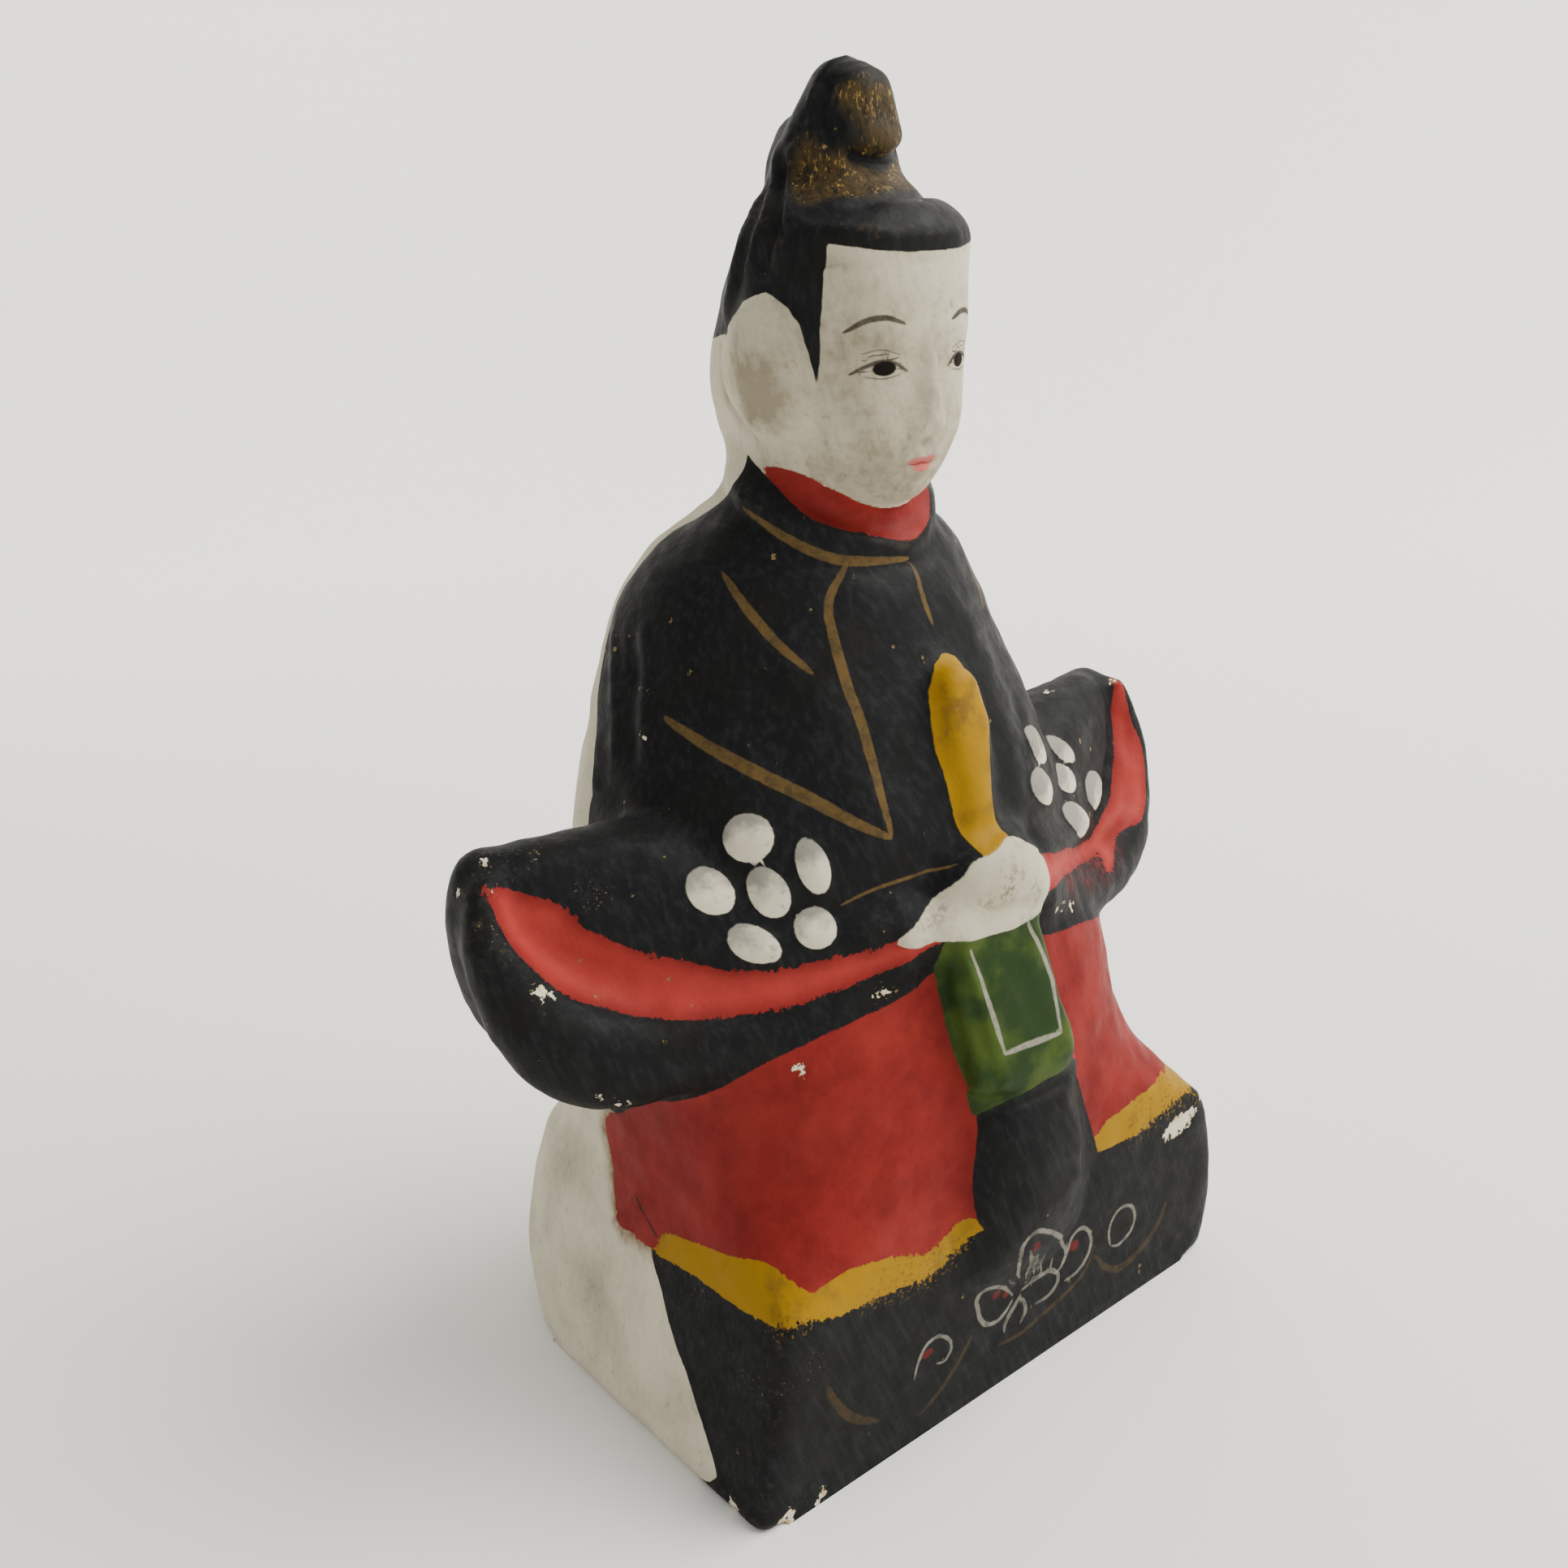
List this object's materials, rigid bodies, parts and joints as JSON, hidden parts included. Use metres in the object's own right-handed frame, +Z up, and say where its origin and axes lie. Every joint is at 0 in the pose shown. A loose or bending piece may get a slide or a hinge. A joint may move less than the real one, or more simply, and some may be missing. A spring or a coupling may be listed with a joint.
{
  "type": "japanese clay doll",
  "caption": "Painted clay doll of a seated court noble in a tall cap, wide sleeves spread over a block plinth, holding a flat baton; stands on its flat underside.",
  "frame": {"origin": "centre of the plinth's underside, halfway between its flat front and the back of its rounded rear", "axes": "+Z up along the figure, -Y the way the face looks, +X the figure's left"},
  "size_m": [0.1061, 0.0701, 0.1514],
  "materials": {
    "painted_clay": "satin brushed paint over white ground on fired clay: black robe and cap, vermilion, ochre, green and white, worn at the ridges"
  },
  "bodies": {
    "root": {"clay_doll": "painted_clay"}
  },
  "joints": []
}
